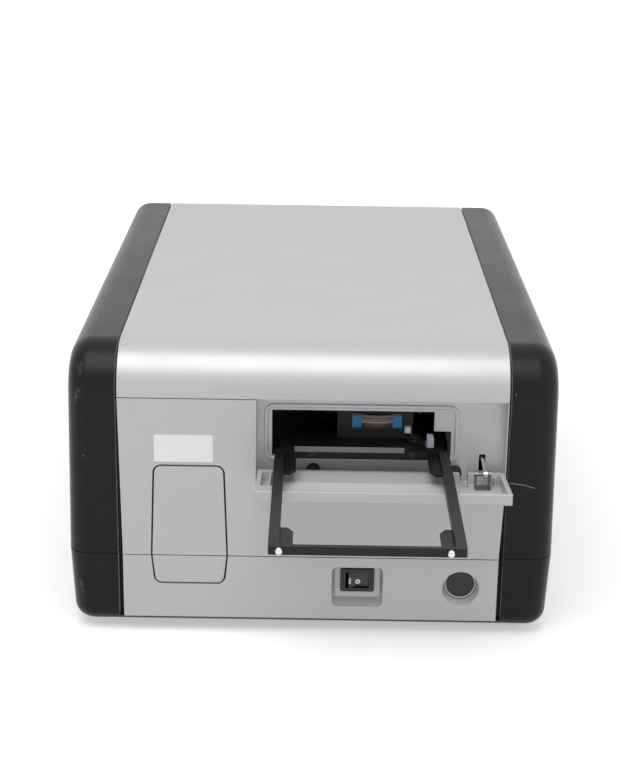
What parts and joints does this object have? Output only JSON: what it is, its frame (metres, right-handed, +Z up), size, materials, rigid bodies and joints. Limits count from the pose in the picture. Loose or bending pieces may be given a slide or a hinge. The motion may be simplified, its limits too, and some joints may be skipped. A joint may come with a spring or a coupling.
{
  "type": "microplate reader",
  "caption": "Benchtop absorbance reader for microplates: light hood and front between dark side covers, with the plate carrier driven out over its hinged drop-down door.",
  "frame": {"origin": "centre of the footprint of the whole reader with its plate carrier driven out, on the bench under the feet", "axes": "+X to the right of a person who faces the reader's front, +Y from the front to the back, +Z up"},
  "size_m": [0.2774, 0.5146, 0.1702],
  "materials": {
    "silver_paint": "fine metallic, satin",
    "dark_paint": "smooth, semi-matt charcoal",
    "foot_rubber": "matt",
    "rear_paint": "fine texture, matt",
    "sheet_steel": "zinc plated",
    "bright_metal": "bright nickel",
    "black_plastic": "fine spark texture",
    "gloss_black": "smooth",
    "black_rubber": "matt",
    "white_plastic": "smooth",
    "door_plastic": "fine texture",
    "carrier_black": "black anodised",
    "machined_aluminium": "machined",
    "black_aluminium": "black anodised",
    "bronze": "sintered",
    "grey_plastic": "smooth",
    "circuit_board": "solder mask",
    "flex_film": "polyimide film",
    "blue_plastic": "smooth",
    "ground_steel": "ground and polished",
    "motor_black": "satin",
    "optical_glass": "polished"
  },
  "bodies": {
    "housing": {"base_tub": "dark_paint", "feet": "foot_rubber", "hood": "silver_paint", "side_cover_right": "dark_paint", "side_cover_left": "dark_paint", "rear_panel": "rear_paint", "rear_frame": "sheet_steel", "rear_screws": "bright_metal", "power_inlet": "black_plastic", "data_socket": "bright_metal", "front_panel": "silver_paint", "lower_front_panel": "silver_paint", "port_blank_upper": "silver_paint", "port_blank_lower": "silver_paint", "port_gasket": "black_rubber", "label_plate": "white_plastic", "switch_bezel": "black_plastic", "button_bezel": "black_plastic", "button_spring": "bright_metal", "door_hinge_pins": "bright_metal", "door_bumpers": "black_rubber", "chassis_plate": "machined_aluminium", "chassis_posts": "machined_aluminium", "guide_rods": "ground_steel", "rod_stands": "machined_aluminium", "drive_belt": "black_rubber", "drive_brackets": "sheet_steel", "stepper_motors": "motor_black", "optics_bridge": "black_aluminium", "detector_board": "circuit_board", "monochromator_case": "black_aluminium", "monochromator_lid": "black_aluminium", "flash_lamp": "machined_aluminium", "main_board": "circuit_board", "power_supply": "sheet_steel", "fan_frame": "black_plastic"},
    "carrier": {"plate_carrier": "carrier_black", "carrier_studs": "bright_metal", "carriage": "machined_aluminium", "carriage_bushings": "bronze", "carriage_fasteners": "bright_metal", "carriage_board": "circuit_board", "flat_cable": "flex_film", "cable_ends": "blue_plastic", "plate_sensor": "white_plastic"},
    "clamp": {"clamp_lever": "grey_plastic"},
    "drive_wheel": {"drive_pulley": "machined_aluminium"},
    "idler_wheel": {"idler_pulley": "machined_aluminium"},
    "door": {"carrier_door": "door_plastic", "door_bracket": "bright_metal"},
    "link": {"door_link": "bright_metal"},
    "head": {"optics_head": "black_aluminium", "head_lens": "optical_glass"},
    "screw": {"scan_screw": "ground_steel"},
    "wheel": {"filter_wheel": "black_aluminium", "filters": "optical_glass"},
    "turntable": {"grating": "machined_aluminium"},
    "rotor": {"fan_rotor": "black_plastic"},
    "rocker": {"switch_rocker": "gloss_black"},
    "button": {"button_cap": "gloss_black"}
  },
  "joints": [
    {"name": "carrier_slide", "type": "slide", "parent": "housing", "child": "carrier", "axis": [0, 1, 0], "range_m": [0, 0.247]},
    {"name": "drive_pulley_turn", "type": "hinge", "parent": "housing", "child": "drive_wheel", "pos_m": [-0.032, 0.2143, 0.095], "axis": [1, 0, 0], "range_deg": [-2400, 0]},
    {"name": "idler_pulley_turn", "type": "hinge", "parent": "housing", "child": "idler_wheel", "pos_m": [-0.032, -0.0897, 0.095], "axis": [1, 0, 0], "range_deg": [-2400, 0]},
    {"name": "clamp_swing", "type": "hinge", "parent": "carrier", "child": "clamp", "pos_m": [0.0579, -0.1081, 0.1145], "axis": [0, 0, -1], "range_deg": [0, 12], "stiffness_Nm_per_rad": 0.02},
    {"name": "door_hinge", "type": "hinge", "parent": "housing", "child": "door", "pos_m": [0, -0.11995, 0.09625], "axis": [1, 0, 0], "range_deg": [0, 7], "stiffness_Nm_per_rad": 0.01, "springref_deg": -83.02},
    {"name": "link_swing", "type": "hinge", "parent": "door", "child": "link", "pos_m": [0.0964, -0.13259, 0.1041], "axis": [1, 0, 0], "range_deg": [-6, 6]},
    {"name": "head_scan", "type": "slide", "parent": "housing", "child": "head", "axis": [1, 0, 0], "range_m": [-0.0315, 0.0315]},
    {"name": "scan_screw_turn", "type": "hinge", "parent": "housing", "child": "screw", "pos_m": [0.0277, 0.0053, 0.147], "axis": [1, 0, 0], "range_deg": [-1500, 1500]},
    {"name": "filter_wheel_turn", "type": "hinge", "parent": "housing", "child": "wheel", "pos_m": [-0.085, 0.1263, 0.108], "axis": [0, 1, 0], "continuous": true},
    {"name": "grating_turn", "type": "hinge", "parent": "housing", "child": "turntable", "pos_m": [-0.092, 0.0763, 0.08], "axis": [0, 0, 1], "range_deg": [-30, 30]},
    {"name": "fan_spin", "type": "hinge", "parent": "housing", "child": "rotor", "pos_m": [0.04, 0.2463, 0.108], "axis": [0, 1, 0], "continuous": true},
    {"name": "switch_rock", "type": "hinge", "parent": "housing", "child": "rocker", "pos_m": [0.02695, -0.1167, 0.033], "axis": [0, 0, 1], "range_deg": [-20, 0]},
    {"name": "button_press", "type": "slide", "parent": "housing", "child": "button", "axis": [0, 1, 0], "range_m": [0, 0.003], "stiffness_N_per_m": 400, "springref_m": -0.002, "deforming": ["button_spring"]}
  ],
  "couplings": [
    {"joint": "drive_pulley_turn", "follows": "carrier_slide", "rad_per_m": -158.73},
    {"joint": "idler_pulley_turn", "follows": "carrier_slide", "rad_per_m": -158.73},
    {"joint": "link_swing", "follows": "door_hinge", "ratio": -0.614},
    {"joint": "scan_screw_turn", "follows": "head_scan", "rad_per_m": 785.4}
  ]
}
